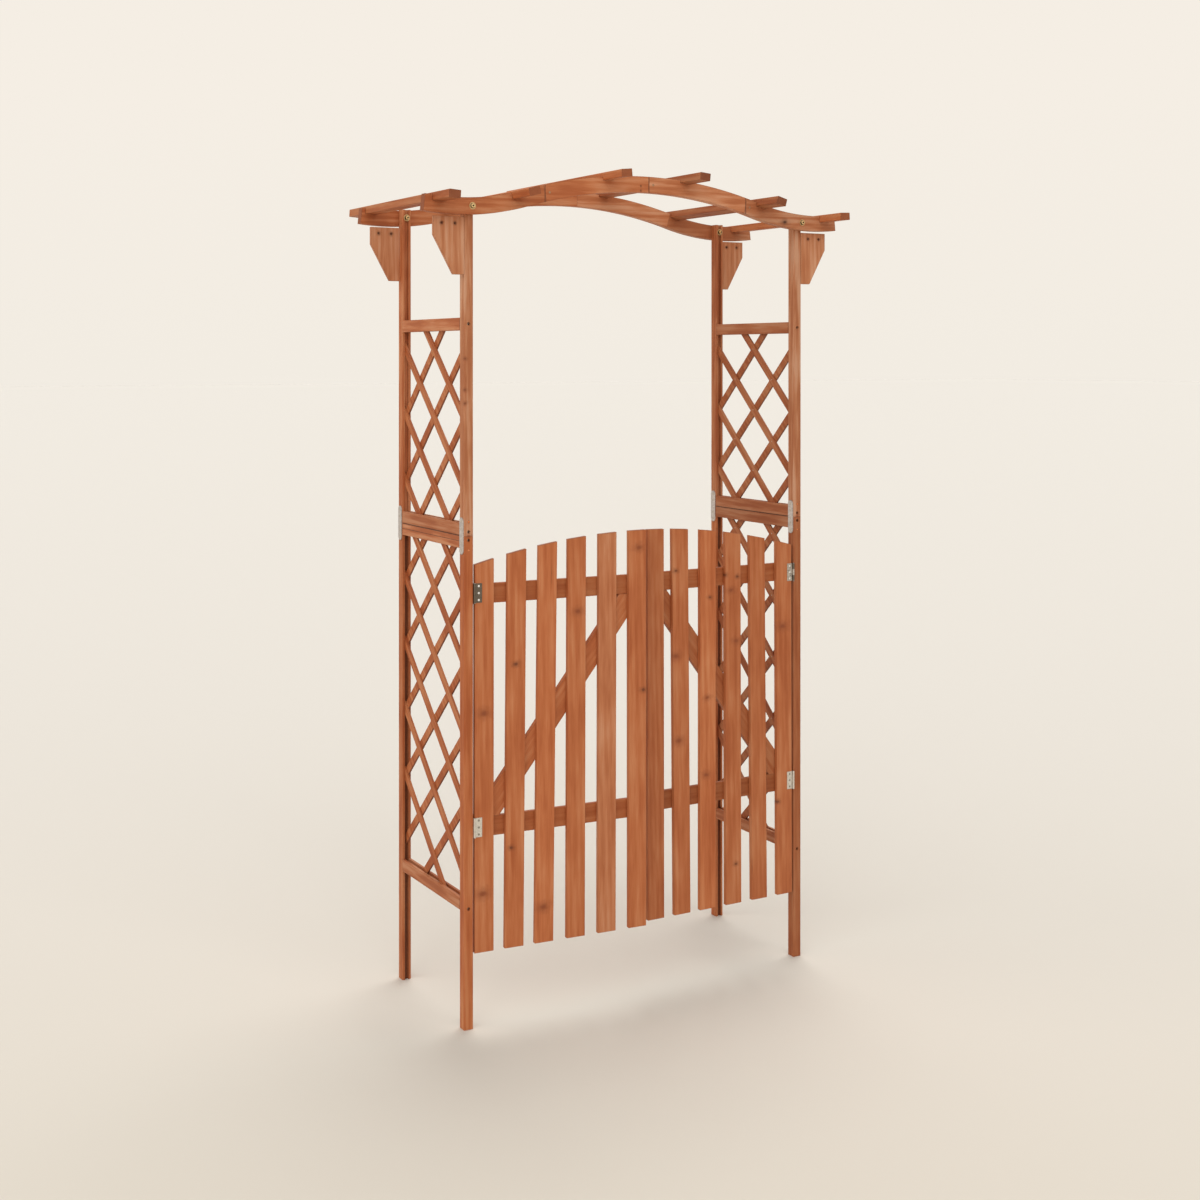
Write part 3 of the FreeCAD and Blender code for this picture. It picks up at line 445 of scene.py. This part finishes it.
def round_heads_tree():
    """Flattened domes on every point of a mesh, facing one way, made real."""
    tree = bpy.data.node_groups.new("round_heads", "GeometryNodeTree")
    for name, kind in (("Geometry", "Geometry"), ("Radius", "Float"), ("Rise", "Float"),
                       ("Facing", "Vector"), ("Material", "Material")):
        tree.interface.new_socket(name, in_out="INPUT", socket_type="NodeSocket" + kind)
    tree.interface.new_socket("Geometry", in_out="OUTPUT", socket_type="NodeSocketGeometry")
    given = tree.nodes.new("NodeGroupInput").outputs
    ball = node(tree, "GeometryNodeMeshUVSphere", {"Segments": 12, "Rings": 6, "Radius": 1.0})
    size = node(tree, "ShaderNodeCombineXYZ", {"X": given["Radius"], "Y": given["Radius"],
                                               "Z": given["Rise"]})
    dome = node(tree, "GeometryNodeTransform", {"Geometry": ball.outputs["Mesh"],
                                                "Scale": size.outputs[0]})
    turn = node(tree, "FunctionNodeAlignRotationToVector", {"Vector": given["Facing"]},
                axis="Z")
    placed = node(tree, "GeometryNodeInstanceOnPoints", {
        "Points": given["Geometry"], "Instance": dome.outputs["Geometry"],
        "Rotation": turn.outputs["Rotation"]})
    real = node(tree, "GeometryNodeRealizeInstances", {"Geometry": placed.outputs["Instances"]})
    smooth = node(tree, "GeometryNodeSetShadeSmooth", {"Geometry": real.outputs["Geometry"]})
    coated = node(tree, "GeometryNodeSetMaterial", {"Geometry": smooth.outputs["Geometry"],
                                                    "Material": given["Material"]})
    node(tree, "NodeGroupOutput", {"Geometry": coated.outputs["Geometry"]})
    return tree


heads_tree = round_heads_tree()


def round_heads(name, places, radius, rise, facing, material, body):
    """One mesh of round heads at the given places, riding on one body."""
    points = bpy.data.meshes.new(name + "_places")
    points.from_pydata(places, [], [])
    maker = bpy.data.objects.new(name + "_places", points)
    bpy.context.scene.collection.objects.link(maker)
    modifier = maker.modifiers.new("round_heads", "NODES")
    modifier.node_group = heads_tree
    values = {"Radius": radius, "Rise": rise, "Facing": facing, "Material": material}
    for item in heads_tree.interface.items_tree:
        if item.in_out == "INPUT" and item.name in values:
            modifier[item.identifier] = values[item.name]
    bpy.context.view_layer.update()
    grown = maker.evaluated_get(bpy.context.evaluated_depsgraph_get())
    mesh = bpy.data.meshes.new_from_object(grown)
    bpy.data.objects.remove(maker)
    mesh.name = name
    heads = bpy.data.objects.new(name, mesh)
    bpy.context.scene.collection.objects.link(heads)
    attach(heads, body)


NAIL_ZINC = ((0.55, 0.46, 0.38), (0.30, 0.23, 0.17))
nail_steel = zinc("nail_steel", NAIL_ZINC, grain=900.0)
PANELS = ({"top_crossing": 1.614, "rows": 3, "bottom": 1.198, "top": 1.655},
          {"top_crossing": 1.197, "rows": 6, "bottom": 0.309, "top": 1.138})
for side, way in (("left", -1), ("right", 1)):
    crossings = []
    for panel in PANELS:
        low, high = panel["bottom"] + NAIL_MARGIN, panel["top"] - NAIL_MARGIN
        for row in range(panel["rows"]):
            level = panel["top_crossing"] - row * SLAT_STEP
            half = SLAT_STEP / 2
            for y, z in ((0.0, level), (half, level - half), (-half, level - half)):
                if low < z < high:
                    crossings.append((way * (PANEL_MIDDLE - SLAT_THICKNESS), y, z))
    round_heads(side + "_lattice_nails", crossings, NAIL_HEAD, NAIL_RISE, (-way, 0, 0),
                nail_steel, "frame")


# Plugs: small round pine pegs that close the dowel holes beside the splice,
# left paler than the posts because their end grain is sanded after staining.
PLUG_RADIUS = 0.0033
PLUG_RISE = 0.0005
PLUG_REACH = 0.0335
plug_pine = stained_pine("plug_pine", UPRIGHT, tone=1.6, seed=7.7)
for face, way in (("front", -1), ("back", 1)):
    pegs = [(x, way * POST_FACE, SPLICE_HEIGHT + reach)
            for x in (-PANEL_MIDDLE, PANEL_MIDDLE) for reach in (-PLUG_REACH, PLUG_REACH)]
    round_heads(face + "_post_plugs", pegs, PLUG_RADIUS, PLUG_RISE, (0, way, 0),
                plug_pine, "frame")


# Splice plates: flat galvanised straps with round ends, screwed over each post joint.
# Pale bluish zinc with a faint crystal pattern, darker towards its rim.
PLATE_ZINC = ((0.60, 0.54, 0.50), (0.33, 0.29, 0.27))
PLATE_RIM = 0.0032
dress("splice_plates", zinc("splice_steel", PLATE_ZINC, rough=0.42, grain=260.0,
                            rim=PLATE_RIM))


# Curved beams: four lengths each, sawn to the curve and lapped with glue and a screw.
# The broad faces are planed and take the stain greyer than the posts.
BEAM_LOOKS = ((1.00, 0.10), (1.10, 0.15), (1.20, 0.50), (0.98, 0.45))
BEAM_FACE = 0.208
BEAM_SEAMS = (-0.292, 0.006, 0.304)
SEAM_REACH = 0.0013
# The sunk nail holes on front_beam_2 are painted dark as painted shade.
BEAM_MARKS = {
    "front_beam_2": [((-0.018, -BEAM_FACE, 2.018), 0.0025, SHADED_NAIL_HOLE),
                     ((-0.018, -BEAM_FACE, 2.006), 0.0025, SHADED_NAIL_HOLE)],
    "front_beam_4": [((0.430, -BEAM_FACE, 1.946), 0.007, DARK_PLUG)]}
for face, way in (("front", -1), ("back", 1)):
    for number, (tone, greyed) in enumerate(BEAM_LOOKS, 1):
        piece = face + "_beam_%d" % number
        marks = [((seam, way * BEAM_FACE, 0), SEAM_REACH, UPRIGHT_SEAM)
                 for seam in BEAM_SEAMS[max(number - 2, 0):number]]
        marks += BEAM_MARKS.get(piece, [])
        dress(piece, stained_pine(piece + "_pine", ACROSS, tone, greyed, marks,
                                  seed=2.3 * number, figure=1.7))


# Roof battens: straight sticks let into the beams and screwed down from above.
# Their sawn ends drink the stain and turn dark red brown.
BATTEN_TONES = (0.89, 1.05, 1.07, 0.75, 0.76, 1.00)
for number, tone in enumerate(BATTEN_TONES, 1):
    batten = "roof_batten_%d" % number
    dress(batten, stained_pine(batten + "_pine", THROUGH, tone, seed=3.1 * number, figure=1.5))


# Corner brackets: thin pine boards with a sloping edge, beside the tops of the posts.
# Two shallow drilled holes near the top of each are painted dark, as painted shade inside them.
BRACKET_HOLE_PLACES = (-0.524, -0.559, 0.524, 0.559)
BRACKET_HOLE_HEIGHT = 1.9065
BRACKET_HOLE_SIZE = 0.0042
shaded_bracket_holes = [((place, 0, BRACKET_HOLE_HEIGHT), BRACKET_HOLE_SIZE, SHADED_NAIL_HOLE)
                 for place in BRACKET_HOLE_PLACES]
dress("corner_brackets", stained_pine("bracket_pine", UPRIGHT, tone=1.20, greyed=0.7,
                                      marks=shaded_bracket_holes, seed=9.2, figure=1.2))


# Beam bolts: yellow zinc-plated socket bolts with washers, through beam and post.
# Rings of colour round each bolt paint shade in the socket and between head and washer, and a
# highlight round the socket, on the golden plating of head and washer.
BOLT_HEIGHT = 1.9473
ACROSS_BOLT = (1.0, 0.0, 1.0)
WASHER_RADIUS = 0.008
SOCKET_SHADE = (0.030, 0.020, 0.012)
SOCKET_RIM_HIGHLIGHT = (0.760, 0.540, 0.260)
HEAD_FACE = (0.700, 0.480, 0.220)
HEAD_SHADE = (0.120, 0.075, 0.040)
WASHER_FACE = (0.560, 0.380, 0.180)
# From the axis out: painted shade in the socket, a painted highlight round it, the head, painted
# shade between head and washer, the washer.
BOLT_RINGS_OF_LIGHT_AND_COLOUR = ((0.26, SOCKET_SHADE), (0.33, SOCKET_RIM_HIGHLIGHT), (0.56, HEAD_FACE), (0.64, HEAD_SHADE),
              (0.72, HEAD_SHADE), (0.80, WASHER_FACE))
BOLT_ROUGHNESS = (0.25, 0.55)
bolt_steel, tree = bare_material("bolt_steel")
here = node(tree, "ShaderNodeTexCoord").outputs["Object"]
offset = vector_maths(tree, "SUBTRACT", vector_maths(tree, "ABSOLUTE", here),
                      (PANEL_MIDDLE, 0.0, BOLT_HEIGHT))
flat = vector_maths(tree, "MULTIPLY", offset, ACROSS_BOLT)
share = maths(tree, "DIVIDE", vector_maths(tree, "LENGTH", flat), WASHER_RADIUS)
scuffs = node(tree, "ShaderNodeTexNoise", {"Vector": here, "Scale": 600.0, "Detail": 3.0})
dull = stretched(tree, scuffs.outputs["Fac"], wanted=BOLT_ROUGHNESS)
skin = node(tree, "ShaderNodeBsdfPrincipled", {
    "Base Color": ramped_colour(tree, share, BOLT_RINGS_OF_LIGHT_AND_COLOUR), "Roughness": dull, "Metallic": 0.85})
node(tree, "ShaderNodeOutputMaterial", {"Surface": skin.outputs[0]})
dress("beam_bolts", bolt_steel)


# Gate pickets: planed boards screwed side by side, with tops sawn to one long arch.
# Knots and cracks lie where the real boards have them; each takes the stain its own way.
PICKET_TONES = {"left": (1.04, 1.04, 1.08, 1.02, 1.10, 1.02),
                "right": (0.98, 0.95, 0.96, 1.08, 0.98, 0.92)}
PICKET_MARKS = {
    "left_gate_picket_1": [((-0.448, 0, 0.745), 0.011, KNOT),
                           ((-0.451, 0, 0.317), 0.012, KNOT)],
    "left_gate_picket_2": [((-0.365, 0, 0.856), 0.006, SMALL_KNOT),
                           ((-0.378, 0, 0.417), 0.005, SMALL_KNOT)],
    "left_gate_picket_3": [((-0.294, 0, 0.263), 0.011, KNOT),
                           ((-0.271, 0, 1.069), 0.002, CRACK)],
    "left_gate_picket_4": [((-0.200, 0, 0.972), 0.009, KNOT)],
    "left_gate_picket_6": [((-0.032, 0, 1.119), 0.009, KNOT),
                           ((-0.020, 0, 0.765), 0.006, SMALL_KNOT)],
    "right_gate_picket_5": [((0.101, 0, 1.049), 0.005, SMALL_KNOT),
                            ((0.101, 0, 0.832), 0.010, KNOT),
                            ((0.110, 0, 0.616), 0.010, KNOT)],
    "right_gate_picket_4": [((0.206, 0, 0.974), 0.005, SMALL_KNOT),
                            ((0.198, 0, 0.717), 0.007, KNOT),
                            ((0.194, 0, 0.519), 0.008, KNOT)],
    "right_gate_picket_3": [((0.272, 0, 0.988), 0.008, KNOT),
                            ((0.253, 0, 1.028), 0.005, SMALL_KNOT),
                            ((0.293, 0, 1.022), 0.005, SMALL_KNOT),
                            ((0.288, 0, 0.855), 0.008, KNOT),
                            ((0.288, 0, 0.276), 0.005, SMALL_KNOT)],
    "right_gate_picket_2": [((0.341, 0, 0.255), 0.0016, CRACK)],
    "right_gate_picket_1": [((0.439, 0, 0.881), 0.011, KNOT),
                            ((0.424, 0, 0.419), 0.005, SMALL_KNOT)]}
GREYED_PICKETS = {"left_gate_picket_5": 0.4}
PICKET_SEEDS = {"left": 4.0, "right": 5.0}
for side, tones in PICKET_TONES.items():
    for number, tone in enumerate(tones, 1):
        board = side + "_gate_picket_%d" % number
        dress(board, stained_pine(board + "_pine", UPRIGHT, tone, GREYED_PICKETS.get(board, 0.0),
                                  marks=PICKET_MARKS.get(board, ()),
                                  seed=1.3 * number + PICKET_SEEDS[side]))


# Gate frame: two rails and a slanting brace behind the pickets of each leaf.
# Rougher pine, toned darker as painted shade from the pickets in front, with the grain along
# each piece.
LEFT_LEAF_ACROSS = (0.997, -0.077, 0.0)
LEFT_BRACE_ALONG = (0.610, 0.0, 0.792)
RIGHT_BRACE_ALONG = (-0.610, 0.0, 0.792)
GATE_FRAME_TONES_AND_SHADE = {"left_gate_top_rail": (LEFT_LEAF_ACROSS, 0.80, -0.15),
                    "left_gate_bottom_rail": (LEFT_LEAF_ACROSS, 0.82, -0.15),
                    "left_gate_brace": (LEFT_BRACE_ALONG, 1.00, 0.0),
                    "right_gate_top_rail": (ACROSS, 0.78, -0.15),
                    "right_gate_bottom_rail": (ACROSS, 0.66, -0.15),
                    "right_gate_brace": (RIGHT_BRACE_ALONG, 0.80, 0.0)}
for board, (along, tone, greyed) in GATE_FRAME_TONES_AND_SHADE.items():
    dress(board, stained_pine(board + "_pine", along, tone, greyed, seed=5.5 + tone))


# Hinges: pressed steel butts with a loose pin, screwed onto the picket and the post.
# The upper ones have gone dark while the lower ones still shine with zinc.
BRIGHT_ZINC = ((0.70, 0.66, 0.59), (0.40, 0.36, 0.30))
DARK_ZINC = ((0.15, 0.12, 0.09), (0.09, 0.075, 0.055))
MOTTLED_ZINC = ((0.55, 0.49, 0.42), (0.02, 0.015, 0.01))
PIN_ZINC = ((0.45, 0.43, 0.40), (0.25, 0.24, 0.22))
HINGE_RIM = 0.0012
GATE_MIDDLE = 0.75
dress("left_gate_hinge_leaves", zinc("left_hinge_steel", DARK_ZINC, BRIGHT_ZINC, GATE_MIDDLE,
                                     rim=HINGE_RIM))
dress("right_gate_hinge_leaves", zinc("right_hinge_steel", MOTTLED_ZINC, BRIGHT_ZINC,
                                      GATE_MIDDLE, rim=HINGE_RIM))
dress("hinge_post_leaves", zinc("post_hinge_steel", DARK_ZINC, BRIGHT_ZINC, GATE_MIDDLE))
dress("hinge_pins", zinc("pin_steel", PIN_ZINC, rough=0.35))


# Screws: countersunk zinc-plated wood screws in the frame, the gate and the hinges.
# Those of the bright lower hinges look dark against them.
ROOF_HEIGHT = 1.8
ROOF_SCREWS = ((0.42, 0.25, 0.14), (0.22, 0.12, 0.07))
PANEL_SCREWS = ((0.55, 0.48, 0.38), (0.28, 0.23, 0.17))
UPPER_GATE_SCREWS = ((0.88, 0.86, 0.82), (0.60, 0.57, 0.53))
LOWER_GATE_SCREWS = ((0.30, 0.27, 0.23), (0.16, 0.14, 0.11))
dress("frame_screws", zinc("frame_screw_steel", ROOF_SCREWS, PANEL_SCREWS, ROOF_HEIGHT,
                           rough=0.35, grain=700.0))
for side in ("left", "right"):
    dress(side + "_gate_screws", zinc(side + "_gate_screw_steel", UPPER_GATE_SCREWS,
                                      LOWER_GATE_SCREWS, GATE_MIDDLE, grain=700.0))
